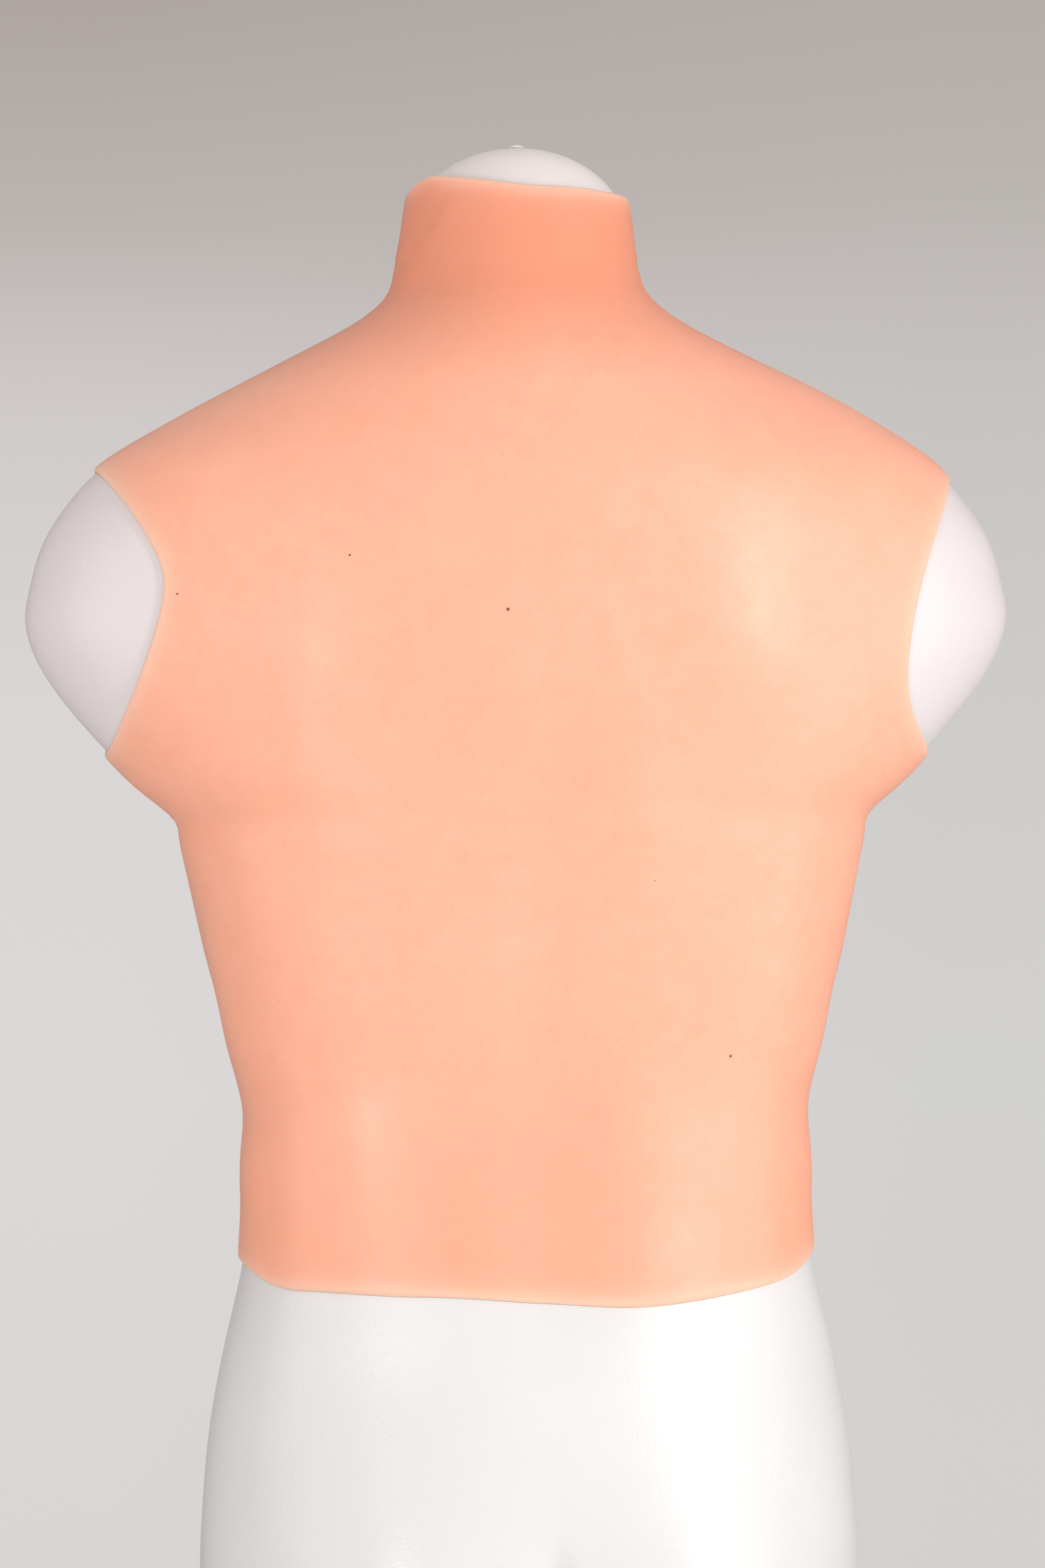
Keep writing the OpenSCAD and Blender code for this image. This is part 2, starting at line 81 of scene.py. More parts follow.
def column(number, spread):
    """A column of STATIONS at every height of GRID_H: a cubic through them, softened over spread mm."""
    t, p = STATIONS[:, 0], STATIONS[:, number]
    each = np.arange(len(t))
    before, after = np.maximum(each - 1, 0), np.minimum(each + 1, each[-1])
    slope = (p[after] - p[before]) / (t[after] - t[before])
    h = np.clip(GRID_H, t[0], t[-1])
    i = np.clip(np.searchsorted(t, h, "right") - 1, 0, each[-1] - 1)
    d = t[i + 1] - t[i]
    u = (h - t[i]) / d
    v = ((2 * u**3 - 3 * u**2 + 1) * p[i] + (u**3 - 2 * u**2 + u) * slope[i] * d
         + (3 * u**2 - 2 * u**3) * p[i + 1] + (u**3 - u**2) * slope[i + 1] * d)
    v = v + np.where(GRID_H < t[0], slope[0], slope[-1]) * (GRID_H - h)
    reach = 3 * spread
    weight = np.exp(-0.5 * (np.arange(-reach, reach + 1) / spread) ** 2)
    padded = np.pad(v, reach, mode="reflect", reflect_type="odd")
    return np.convolve(padded, weight / weight.sum(), mode="valid")


HALF_W, FRONT, BACK, SQUARE = column(1, 3), column(2, 12), column(3, 12), column(4, 9)

# Swellings, alike on both sides: rise, distance from the middle, height, spread sideways, spread up and down
BACK_SWELLINGS = (
    (5.0, 92, 556, 42, 60), (2.2, 124, 478, 34, 60), (1.4, 112, 520, 20, 44),
    (1.2, 36, 330, 24, 110), (2.2, 46, 668, 30, 30), (13.0, 74, 92, 52, 58),
)
FRONT_SWELLINGS = (
    (1.6, 78, 556, 40, 16), (2.4, 35, 470, 22, 21), (2.6, 35, 420, 22, 21), (2.4, 35, 368, 22, 21),
    (1.4, 35, 300, 22, 21), (3.0, 36, 350, 30, 95), (-2.0, 125, 330, 40, 60),
    (2.0, 118, 455, 18, 20), (1.6, 110, 425, 16, 14),
)


def swelling(x, h, rise, x0, h0, wide, tall):
    return rise * bell((x - x0) / wide) * bell((h - h0) / tall)


def back_relief(x, h):
    """Shoulder blades, the muscles beside the spine, the furrow between them, and the buttocks."""
    r = sum(swelling(np.abs(x), h, *one) for one in BACK_SWELLINGS)
    r = r + swelling(x, h, -1.1, -76, 476, 24, 20) + swelling(x, h, -0.9, 92, 408, 26, 30)
    r = r - 1.2 * bell(x / 26) * smooth01((h - 170) / 90) * smooth01((650 - h) / 90)
    return r - 20.0 * bell(x / 8.5) * smooth01((134 - h) / 72)


def front_relief(x, h):
    """Chest, breastbone, collar bones, belly, navel and groin."""
    ax = np.abs(x)
    r = sum(swelling(ax, h, *one) for one in FRONT_SWELLINGS)
    chest_low = 536 + 0.0022 * (ax - 62) ** 2
    chest = np.exp(-((ax - 76) / 50) ** 4) * smooth01((h - chest_low + 14) / 26) * smooth01((668 - h) / 110)
    breastbone = bell(x / 9) * smooth01((h - 470) / 60) * smooth01((650 - h) / 60)
    collar_bone_h = 655 + 0.11 * (ax - 20)
    collar_bone = bell((h - collar_bone_h) / 8) * smooth01((ax - 14) / 14) * smooth01((150 - ax) / 60)
    belly_line = bell(x / 8) * smooth01((h - 290) / 40) * smooth01((500 - h) / 40)
    groin_h = 205 - 1.18 * (128 - ax)
    groin = bell((h - groin_h) / 11) * smooth01((ax - 30) / 40) * smooth01((h - 40) / 60)
    r = r + 10.5 * chest - 3.0 * breastbone + 3.2 * collar_bone - 2.4 * belly_line - 3.2 * groin
    return r + swelling(x, h, -5.5, 0, 322, 5.2, 6.5) + swelling(x, h, 7.0, 0, 30, 40, 60)


def on_surface(a, h, dome):
    """Points on the surface itself. Without the dome, the neck goes on straight up."""
    rise = np.maximum(h - DOME_START, 0) / DOME_RISE
    k = np.sqrt(np.clip(1 - rise**2, 1e-4, 1)) if dome else np.ones_like(h)
    w, f, b, n = (np.interp(h, GRID_H, q) for q in (HALF_W, FRONT, BACK, SQUARE))
    c, s = np.cos(a), np.sin(a)
    x = w * k * np.sign(c) * np.abs(c) ** (2 / n)
    back, front = (b + back_relief(x, h)) * k, (f + front_relief(x, h)) * k
    y = np.where(s >= 0, back, -front) * np.abs(s) ** (2 / n)
    return np.stack([x, y, h], -1)


def surface(a, h, t=0.0, dome=True):
    """Points t mm outside the surface at angles a and heights h, and the normals there."""
    across = on_surface(a + 0.012, h, dome) - on_surface(a - 0.012, h, dome)
    n = np.cross(across, on_surface(a, h + 0.4, dome) - on_surface(a, h - 0.4, dome))
    n /= np.linalg.norm(n, axis=-1, keepdims=True)
    return on_surface(a, h, dome) + n * np.asarray(t)[..., None], n


def make(name, points, faces):
    """A smooth mesh piece that rides on the torso, from points in millimetres above the form's base."""
    mesh = bpy.data.meshes.new(name)
    pts = np.asarray(points, float) * MM
    pts[:, 2] += FORM_Z * MM
    mesh.from_pydata(pts.tolist(), [], faces)
    mesh.validate()
    mesh.update()
    mesh.shade_smooth()
    obj = bpy.data.objects.new(name, mesh)
    bpy.context.scene.collection.objects.link(obj)
    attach(obj, "torso")
    return obj


# ---------------------------------------------------------------- the white form's two shells
WALL = 3.0
SCREW_ANGLES, SCREW_H = (28, 90, 152), 15.5
SEAT_DEPTH, SEAT_R = 1.3, 5.2


def shell_between(outer, inner):
    """All points of a closed shell between two grids of points, and its faces."""
    r, c = outer.shape[:2]
    n = r * c
    faces = []
    for i in range(r - 1):
        for j in range(c - 1):
            a = i * c + j
            faces.append((a, a + 1, a + c + 1, a + c))
            faces.append((n + a, n + a + c, n + a + c + 1, n + a + 1))
    for j in range(c - 1):
        faces.append((j + 1, j, n + j, n + j + 1))
        k = (r - 1) * c + j
        faces.append((k, k + 1, n + k + 1, n + k))
    for i in range(r - 1):
        k = i * c
        faces.append((k, k + c, n + k + c, n + k))
        k = i * c + c - 1
        faces.append((k + c, k, n + k, n + k + c))
    return np.concatenate([outer.reshape(-1, 3), inner.reshape(-1, 3)]), faces


def half_form(name, start):
    """One shell, from the cut base to the dome, with fine edge grooves and seats for the rim screws."""
    ends = [0, 0.15, 0.45, 1.0, 1.8]
    seats = np.concatenate([q + np.arange(-4.5, 4.6, 0.75) for q in SCREW_ANGLES])
    between = [q for q in np.linspace(3, 177, 117) if np.min(np.abs(seats - q)) > 0.7]
    middle = np.sort(np.concatenate([between, seats]))
    degrees = np.concatenate([ends, middle, [180 - e for e in reversed(ends)]])
    edge_sink = np.zeros(len(degrees))
    edge_sink[[0, -1]] = -0.45
    edge_sink[[1, -2]] = -0.12
    dome = DOME_START + DOME_RISE * np.sin(np.radians(np.linspace(1, 84, 17)))
    rise = np.concatenate([[0, 0.25, 0.9], np.arange(3, 25, 1.25), np.arange(28, 752, 4.3), dome, [789.8]])
    rim_sink = np.zeros(len(rise))
    rim_sink[:2] = -0.9, -0.3
    a, h = np.meshgrid(np.radians(start + degrees), rise)
    seat_sink = np.zeros_like(a)
    for q in SCREW_ANGLES:
        centre = surface(np.radians([start + q]), np.array([SCREW_H]))[0][0]
        away = np.linalg.norm(surface(a, h)[0] - centre, axis=-1)
        seat_sink -= SEAT_DEPTH * np.exp(-(away / SEAT_R) ** 6)
    outer, _ = surface(a, h, rim_sink[:, None] + edge_sink[None, :] + seat_sink)
    inner, _ = surface(a, h, -WALL + 0 * a)
    outer[0, :, 2] = inner[0, :, 2] = 0
    outer[:3, :, 2] = rise[:3, None]
    inner[:3, :, 2] = np.maximum(inner[:3, :, 2], rise[:3, None])
    inner[-1] = outer[-1] - [0, 0, WALL]
    return make(name, *shell_between(outer, inner))


form_back = half_form("form_back", 0)
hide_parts("form_back_shell")
form_front = half_form("form_front", 180)
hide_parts("form_front_shell")

# ---------------------------------------------------------------- the silicone skin
SKIN_T, LIP_T, LIP_W = 3.2, 2.5, 3.0
COLUMNS, ROW_STEP = 320, 4.5
CLEARANCE = 0.1


def collar_edge(a):
    c = np.cos(a)
    corner = 7.0 * (np.maximum(c - 0.8, 0) / 0.2) ** 2
    return 768 + 5.0 * c + 2.2 * c**2 - corner + 0.5 * np.sin(3 * a + 0.6) + 0.25 * np.sin(7 * a)


def hem_edge(a):
    c = np.cos(a)
    left = 6 * smooth01((c + 0.25) / 0.6) + 9 * (np.maximum(c - 0.78, 0) / 0.22) ** 2
    right = np.maximum(-c - 0.28, 0) / 0.72
    sag = 2.2 * np.maximum(np.sin(a), 0) ** 6
    return 237 + left + 13 * right**2 + 6 * right**8 - sag + 0.35 * np.sin(9 * a + 0.9)


def armhole_edge(h, x):
    """Half width at which the armhole's edge crosses a height. It hangs differently on the two sides."""
    up, down = np.hypot(np.maximum(h - 577, 0), 7) - 7, np.hypot(np.maximum(577 - h, 0), 7) - 7
    one = 176.8 + 28.5 * (up / 50) ** 1.3 + 24 * (down / 70) ** 1.2
    up, down = np.maximum(h - 536, 0), np.maximum(536 - h, 0)
    other = 179.4 + 31 * (up / 94) ** 1.75 + 18.5 * (down / 42) ** 2.4
    return np.where(x > 0, one, other)


def margins(a, h):
    """Distances inside the collar, the hem and the armholes, less the width of the skin's rounded lip."""
    x = on_surface(a, h, False)[..., 0]
    return np.stack([collar_edge(a) - h, h - hem_edge(a), armhole_edge(h, x) - np.abs(x)]) - LIP_W


def depth_inside(a, h):
    """How far each grid point is inside the skin's outline, along the surface."""
    p = on_surface(a, h, False)
    across = np.linalg.norm(np.roll(p, -1, 1) - np.roll(p, 1, 1), axis=-1)
    upward = np.linalg.norm(np.gradient(p, axis=0) * 2, axis=-1)
    depths = []
    for q in margins(a, h):
        slope = np.hypot((np.roll(q, -1, 1) - np.roll(q, 1, 1)) / across, np.gradient(q, axis=0) * 2 / upward)
        depths.append(q / np.clip(slope, 0.3, 3))
    return np.min(depths, axis=0)


def crossings(a, h, side, up, along):
    """Where the outline crosses the grid's lines to the next row (up = 1) or the next column (along = 1)."""
    i, j = np.meshgrid(np.arange(len(a) - up), np.arange(COLUMNS), indexing="ij")
    k, m = i + up, (j + along) % COLUMNS
    hit = side[i, j] != side[k, m]
    i, j, k, m = i[hit], j[hit], k[hit], m[hit]
    a0, h0, h1 = a[i, j], h[i, j], h[k, m]
    a1 = np.where(a[k, m] < a0 - 3, a[k, m] + 2 * np.pi, a[k, m])
    low, high = np.zeros(len(i)), np.ones(len(i))
    for _ in range(12):
        t = 0.5 * (low + high)
        same = np.sign(margins(a0 + t * (a1 - a0), h0 + t * (h1 - h0)).min(0)) == side[i, j]
        low, high = np.where(same, t, low), np.where(same, high, t)
    return list(zip(t, a0 + t * (a1 - a0), h0 + t * (h1 - h0), zip(i, j), zip(k, m)))


def cut_grid():
    """Points (angle, height, depth inside the outline) and faces that end exactly at the outline."""
    a, h = np.meshgrid(np.arange(COLUMNS) * (2 * np.pi / COLUMNS), np.arange(228, 780, ROW_STEP))
    depth = depth_inside(a, h)
    side = np.where(margins(a, h).min(0) > 0, 1, -1)
    found = crossings(a, h, side, 0, 1) + crossings(a, h, side, 1, 0)
    # Grid points close to the outline move onto it; every other line it crosses gets a point of its own
    nearest = {}
    for t, ta, th, p0, p1 in found:
        for q, v in ((t, p0), (1 - t, p1)):
            if q < 0.35 and q < nearest.get(v, (1,))[0]:
                nearest[v] = (q, ta, th)
    points = {(i, j): (a[i, j], h[i, j], depth[i, j]) for i, j in zip(*np.nonzero(side > 0))}
    for v, (_, ta, th) in nearest.items():
        points[v] = (ta, th, 0.0)
        side[v] = 0
    for _, ta, th, p0, p1 in found:
        if side[p0] and side[p1]:
            points[(p0, p1)] = points[(p1, p0)] = (ta, th, 0.0)
    index, used, faces = {}, [], []

    def number(key):
        if key not in index:
            index[key] = len(used)
            if isinstance(key[0], tuple):
                index[key[::-1]] = len(used)
            used.append(points[key])
        return index[key]

    for i in range(len(a) - 1):
        for j in range(COLUMNS):
            k = (j + 1) % COLUMNS
            quad = ((i, j), (i, k), (i + 1, k), (i + 1, j))
            if max(side[q] for q in quad) <= 0:
                continue
            loop = []
            for q, r in zip(quad, quad[1:] + quad[:1]):
                if side[q] >= 0:
                    loop.append(number(q))
                if side[q] * side[r] < 0:
                    loop.append(number((q, r)))
            if len(set(loop)) >= 3:
                faces.append(tuple(loop))
    return np.array(used).T, faces


def drape(a, h):
    """Rise of the skin's outer face: slight waves, creases round the neck and waist, and loose places."""
    x, back = on_surface(a, h, False)[:, 0], smooth01(np.sin(a) * 4)
    r = 0.3 * np.sin(0.052 * h + 1.7 * a + 0.4) * np.sin(4 * a + 0.02 * h)
    r = r + 0.5 * np.sin(0.11 * h) * smooth01((np.abs(np.cos(a)) - 0.8) / 0.2) * smooth01((420 - h) / 60)
    r = r - 0.3 * bell((h - 731 - 2 * np.sin(3 * a)) / 2.2) + 0.3 * bell((h - 737 - 2 * np.sin(3 * a)) / 4)
    r = r + 0.25 * bell((h - 287 - 2 * np.cos(2 * a)) / 3)
    right_x, left_x = x - 0.54 * (768 - h), x + 0.44 * (765 - h)
    right_fold = 0.4 * bell((right_x - 29) / 2.6) - 0.35 * bell((right_x - 34) / 3)
    left_fold = 0.4 * bell((left_x + 40) / 2.2)
    r = r + back * (right_fold * smooth01((h - 712) / 14) + left_fold * smooth01((h - 732) / 12))
    r = r + swelling(x, h, 2.4, -150, 655, 60, 42) * smooth01((h - 590) / 40)
    return r + swelling(x, h, 1.4, 56, 733, 16, 16)


def skin():
    (a, h, depth), faces = cut_grid()
    depth = np.maximum(depth, 0)
    near = 1 - np.exp(-depth / 12)
    thick = LIP_T + (SKIN_T - LIP_T) * near + drape(a, h) * near
    outer, n = surface(a, h, CLEARANCE + thick, dome=False)
    inner, _ = surface(a, h, CLEARANCE + 0 * a, dome=False)
    count = len(a)
    edges = {(p, q) for f in faces for p, q in zip(f, f[1:] + f[:1])}
    rim = [(p, q) for p, q in edges if (q, p) not in edges]
    outward = np.zeros((count, 3))
    for p, q in rim:
        d = np.cross(outer[q] - outer[p], n[p])
        outward[[p, q]] += d / max(np.linalg.norm(d), 1e-9)
    lip = np.array(sorted({v for e in rim for v in e}))
    outward = outward[lip] / np.maximum(np.linalg.norm(outward[lip], axis=1, keepdims=True), 1e-9)
    # The lip is a quarter ellipse of rings, from the outer face round to the inner face's edge
    bends = np.radians([18, 36, 54, 70, 84])
    rings = [inner[lip] + n[lip] * LIP_T * np.cos(q) + outward * LIP_W * np.sin(q) for q in bends]
    place = {v: k for k, v in enumerate(lip)}
    steps = [lambda v: v] + [lambda v, r=r: 2 * count + r * len(lip) + place[v] for r in range(len(bends))]
    steps.append(lambda v: count + v)
    all_faces = faces + [tuple(count + v for v in reversed(f)) for f in faces]
    for p, q in rim:
        for one, two in zip(steps, steps[1:]):
            all_faces.append((one(q), one(p), two(p), two(q)))
    obj = make("skin", np.concatenate([outer, inner] + rings), all_faces)
    fade = np.exp(-depth / 3.5) * 0.5
    edge = [fade, fade] + [np.full(len(lip), 0.5 + 0.5 * np.sin(q)) for q in bends]
    attribute = obj.data.attributes.new("edge", "FLOAT", "POINT")
    attribute.data.foreach_set("value", np.concatenate(edge).astype(np.float32))
    return obj


skin_obj = skin()
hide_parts("silicone_skin")

# ---------------------------------------------------------------- moles moulded in the skin
# Distance to the right of the axis as seen from VIEW_TURN degrees off the back, height, radius
VIEW_TURN = 7
MOLES = (
    (-6.5, 563, 1.0), (-79, 588.5, 0.65), (96, 352, 1.0),
    (-8, 634, 0.5), (-160, 572, 0.5), (61, 436, 0.4),
)
MOLE_SIDES = 12


def mole(u, h, r):
    """A low button's points: its top, a ring near the top and a ring sunk in the skin."""
    a = np.radians(np.linspace(10, 170, 1601))
    line = on_surface(a, np.full_like(a, h), False)
    q = math.radians(VIEW_TURN)
    found = a[np.argmin(np.abs(-line[:, 0] * math.cos(q) + line[:, 1] * math.sin(q) - u))]
    c, n = (v[0] for v in surface(np.array([found]), np.array([float(h)]), np.array([SKIN_T + 0.1])))
    across = np.cross(n, (0, 0, 1))
    across /= np.linalg.norm(across)
    upward = np.cross(across, n)
    points = [c + n * 0.22 * r]
    for radius, rise in ((0.6 * r, 0.12 * r), (r, -0.5)):
        for q in np.linspace(0, 2 * np.pi, MOLE_SIDES, False):
            points.append(c + n * rise + radius * (across * math.cos(q) + upward * math.sin(q)))
    return points


mole_points, mole_faces = [], []
for spot in MOLES:
    top = len(mole_points)
    mole_points += mole(*spot)
    upper, lower = ([top + 1 + row * MOLE_SIDES + q for q in range(MOLE_SIDES)] for row in (0, 1))
    for q in range(MOLE_SIDES):
        following = (q + 1) % MOLE_SIDES
        mole_faces.append((top, upper[q], upper[following]))
        mole_faces.append((upper[q], lower[q], lower[following], upper[following]))
    mole_faces.append(tuple(reversed(lower)))
moles = make("moles", mole_points, mole_faces)

# ---------------------------------------------------------------- materials


class Nodes:
    """A node tree and helpers that add to it."""

    def __init__(self, tree):
        self.nt = tree

    def feed(self, socket, value):
        if isinstance(value, bpy.types.NodeSocket):
            self.nt.links.new(value, socket)
        elif isinstance(value, tuple) and len(value) < len(socket.default_value):
            socket.default_value = (*value, 1)
        else:
            socket.default_value = value

    def node(self, kind, ins=None, **props):
        n = self.nt.nodes.new("ShaderNode" + kind)
        for k, v in props.items():
            setattr(n, k, v)
        for k, v in (ins or {}).items():
            self.feed(n.inputs[k], v)
        return n

    def remap(self, x, a, b, c=0.0, d=1.0, **props):
        ins = {"Value": x, "From Min": a, "From Max": b, "To Min": c, "To Max": d}
        return self.node("MapRange", ins, **props).outputs[0]

    def math(self, op, a, b=0.0):
        return self.node("Math", {0: a, 1: b}, operation=op).outputs[0]

    def mix(self, fac, a, b):
        return self.node("Mix", {0: fac, 6: a, 7: b}, data_type="RGBA").outputs[2]


class Mat(Nodes):
    """A Principled material with helpers for its procedural detail."""

    def __init__(self, name, **values):
        self.mat = bpy.data.materials.new(name)
        self.mat.use_nodes = True
        super().__init__(self.mat.node_tree)
        self.bsdf = self.nt.nodes["Principled BSDF"]
        for k, v in values.items():
            self.feed(self.bsdf.inputs[k.replace("_", " ")], v)
        self.at = self.nt.nodes.new("ShaderNodeTexCoord").outputs["Object"]
        self.normal = None

    def height(self):
        return self.node("SeparateXYZ", {0: self.at}).outputs["Z"]

    def stretch(self, x, y, z):
        return self.node("Mapping", {"Vector": self.at, "Scale": (x, y, z)}).outputs[0]

    def noise(self, scale, detail=3, rough=0.5, at=None):
        ins = {"Vector": at or self.at, "Scale": scale, "Detail": detail, "Roughness": rough}
        return self.node("TexNoise", ins).outputs["Fac"]

    def cells(self, scale):
        return self.node("TexVoronoi", {"Vector": self.at, "Scale": scale}).outputs["Distance"]

    def set(self, socket, value):
        self.nt.links.new(value, self.bsdf.inputs[socket])

    def bump(self, height, strength, distance):
        ins = {"Height": height, "Strength": strength, "Distance": distance}
        if self.normal is not None:
            ins["Normal"] = self.normal
        self.normal = self.node("Bump", ins).outputs[0]
        self.nt.links.new(self.normal, self.bsdf.inputs["Normal"])

    def on(self, *pieces):
        """Put the material on pieces, given as objects or as names of CAD nodes."""
        for o in pieces:
            if isinstance(o, str):
                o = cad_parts[o]
            o.data.materials.clear()
            o.data.materials.append(self.mat)


def srgb(r, g, b):
    return tuple(((c / 255 + 0.055) / 1.055) ** 2.4 for c in (r, g, b))


# Silicone: blotches, a redder mottle and pores, painted shade at the neck and towards the hem, and paler at
# its thin edges
m = Mat("silicone", Roughness=0.45, IOR=1.41, Subsurface_Weight=0.3, Subsurface_Scale=0.01,
        Subsurface_Radius=(1.0, 0.4, 0.22), Specular_IOR_Level=0.5)
blotch = m.remap(m.noise(11, 4, 0.6), 0.3, 0.7)
flush = m.remap(m.noise(34, 4, 0.65, at=m.stretch(1.6, 1.0, 0.8)), 0.42, 0.75)
mottle = m.remap(m.noise(85, 5, 0.7), 0.42, 0.68)
pores = m.remap(m.noise(520, 2, 0.6), 0.5, 0.72)
z = m.height()
tone = m.mix(blotch, srgb(251, 177, 150), srgb(249, 170, 142))
tone = m.mix(m.math("MULTIPLY", flush, 0.3), tone, srgb(249, 169, 139))
tone = m.mix(m.math("MULTIPLY", mottle, 0.45), tone, srgb(247, 164, 135))
tone = m.mix(m.math("MULTIPLY", pores, 0.35), tone, srgb(246, 160, 130))
# Painted shade: the skin darkens round the neck
tone = m.mix(m.remap(z, 1.222, 1.268), tone, srgb(232, 147, 117))
# Painted shade: the skin darkens towards the hem
tone = m.mix(m.math("MULTIPLY", m.remap(z, 0.94, 0.80), 0.8), tone, srgb(246, 163, 133))
thin = m.node("Attribute", attribute_name="edge").outputs["Fac"]
m.set("Base Color", m.mix(m.math("MULTIPLY", thin, 0.7), tone, srgb(254, 208, 186)))
m.set("Roughness", m.remap(m.noise(28, 4, 0.6), 0.3, 0.7, 0.31, 0.42))
m.bump(m.noise(26, 3, 0.5, at=m.stretch(1.0, 1.0, 2.2)), 0.2, 0.001)
m.bump(m.noise(420, 3, 0.6), 0.08, 0.0004)
m.bump(m.cells(1100), 0.08, 0.0003)
m.on(skin_obj)

# Brown pigment in the moles
m = Mat("mole", Roughness=0.5, IOR=1.41)
m.set("Base Color", m.mix(m.noise(900, 2), srgb(112, 58, 40), srgb(146, 84, 60)))
m.bump(m.noise(1500, 2), 0.2, 0.0002)
m.on(moles)

# White moulded shell with a fine grain, a painted reflection of the skin's warm light from the armpits up,
# and painted light on the dome
m = Mat("form_white", Roughness=0.34, IOR=1.49, Subsurface_Weight=0.06, Subsurface_Scale=0.004,
        Subsurface_Radius=(1.0, 0.95, 0.9))
z = m.height()
tone = m.mix(m.remap(m.noise(7, 3), 0.35, 0.7), srgb(216, 214, 213), srgb(211, 209, 208))
# Painted reflection: the shell turns warmer from the armpits up, as if lit by light bounced off the skin
tone = m.mix(m.remap(z, 0.98, 1.10), tone, srgb(216, 207, 208))
# Painted light: the dome is lighter and pinker than the rest of the shell
m.set("Base Color", m.mix(m.remap(z, 1.31, 1.34), tone, srgb(238, 230, 227)))
m.set("Roughness", m.remap(m.noise(22, 4), 0.3, 0.7, 0.30, 0.40))
m.bump(m.noise(620, 1.5, 0.4), 0.3, 0.0004)
m.on(form_back, form_front, "neck_plug")

# Chrome, polished round
m = Mat("chrome", Base_Color=(0.80, 0.81, 0.82), Metallic=1.0, Roughness=0.08)
m.set("Roughness", m.remap(m.noise(40, 5, 0.7), 0.35, 0.75, 0.05, 0.16))
m.bump(m.noise(260, 2, at=m.stretch(1, 1, 0.05)), 0.02, 0.0002)
m.on("sliding_pole", "fixed_tube", "tube_hub", "height_collar", "socket_flange")

# Zinc plate on the fasteners
m = Mat("zinc", Metallic=1.0, Roughness=0.35)
m.set("Base Color", m.mix(m.remap(m.noise(120, 3), 0.35, 0.65), (0.58, 0.59, 0.58), (0.70, 0.69, 0.64)))
m.set("Roughness", m.remap(m.noise(300, 3), 0.3, 0.7, 0.28, 0.45))
m.bump(m.noise(900, 2), 0.08, 0.0002)
m.on("rim_screws", "flange_screws", "socket_screw", "collar_screw", "base_bolt", "base_washer")

# Bare drawn tube, with marks along it
m = Mat("drawn_steel", Base_Color=(0.45, 0.46, 0.47), Metallic=1.0, Roughness=0.4)
m.set("Roughness", m.remap(m.noise(200, 3, at=m.stretch(1, 1, 0.04)), 0.3, 0.7, 0.3, 0.5))
m.bump(m.noise(500, 2, at=m.stretch(1, 1, 0.03)), 0.1, 0.0002)
m.on("support_sleeve", "tube_insert")

# Cast iron, as cast
m = Mat("cast_iron", Metallic=0.7, Roughness=0.65)
m.set("Base Color", m.mix(m.remap(m.noise(80, 5), 0.35, 0.7), (0.075, 0.075, 0.078), (0.13, 0.11, 0.095)))
m.bump(m.noise(420, 5, 0.65), 0.6, 0.0006)
m.on("base_weight")

# White powder coat
m = Mat("powder_coat", Roughness=0.42)
m.set("Base Color", m.mix(m.remap(m.noise(12, 3), 0.35, 0.7), srgb(234, 234, 232), srgb(226, 226, 223)))
m.set("Roughness", m.remap(m.noise(90, 3), 0.3, 0.7, 0.36, 0.5))
m.bump(m.noise(850, 2, 0.4), 0.25, 0.0003)
m.on("base_cover")

# Black plastic of the knobs
m = Mat("black_plastic", Base_Color=(0.018, 0.018, 0.02), Roughness=0.42)
m.set("Roughness", m.remap(m.noise(60, 4), 0.3, 0.7, 0.35, 0.52))
m.bump(m.noise(1400, 2), 0.3, 0.0002)
m.on("socket_knob", "collar_knob")

# Natural nylon
m = Mat("nylon", Roughness=0.5, Subsurface_Weight=0.2, Subsurface_Scale=0.003,
        Subsurface_Radius=(1.0, 0.9, 0.8))
m.set("Base Color", m.mix(m.remap(m.noise(30, 3), 0.3, 0.7), (0.74, 0.73, 0.68), (0.67, 0.66, 0.60)))
m.bump(m.noise(700, 2), 0.1, 0.0002)
m.on("sleeve_cup", "pole_top_plug", "pole_glide", "guide_bush")

# Black rubber
m = Mat("rubber", Base_Color=(0.02, 0.02, 0.021), Roughness=0.7)
m.set("Roughness", m.remap(m.noise(70, 4), 0.3, 0.7, 0.6, 0.8))
m.bump(m.noise(600, 3), 0.3, 0.0004)
m.on("base_pad")

# Birch plywood, with its plies across the height
m = Mat("plywood", Roughness=0.6)
grain = m.noise(18, 6, 0.6, at=m.stretch(1.0, 9.0, 1.0))
tone = m.mix(m.remap(grain, 0.3, 0.7), (0.50, 0.33, 0.17), (0.66, 0.48, 0.28))
wave = {"Vector": m.at, "Scale": 100.0, "Distortion": 0.6, "Detail": 2.0, "Detail Scale": 3.0}
plies = m.node("TexWave", wave, bands_direction="Z").outputs["Fac"]
m.set("Base Color", m.mix(m.math("MULTIPLY", plies, 0.35), tone, (0.34, 0.20, 0.10)))
m.set("Roughness", m.remap(grain, 0.3, 0.7, 0.52, 0.7))
m.bump(grain, 0.25, 0.0005)
m.on("bottom_board", "waist_board")

# Resin and glass mat
m = Mat("resin_mat", Roughness=0.35)
strands = m.remap(m.noise(240, 4, at=m.stretch(1, 0.2, 1)), 0.35, 0.65)
m.set("Base Color", m.mix(strands, (0.62, 0.61, 0.54), (0.45, 0.44, 0.37)))
m.bump(m.noise(260, 5, 0.7), 0.5, 0.0008)
m.on("seam_tape")

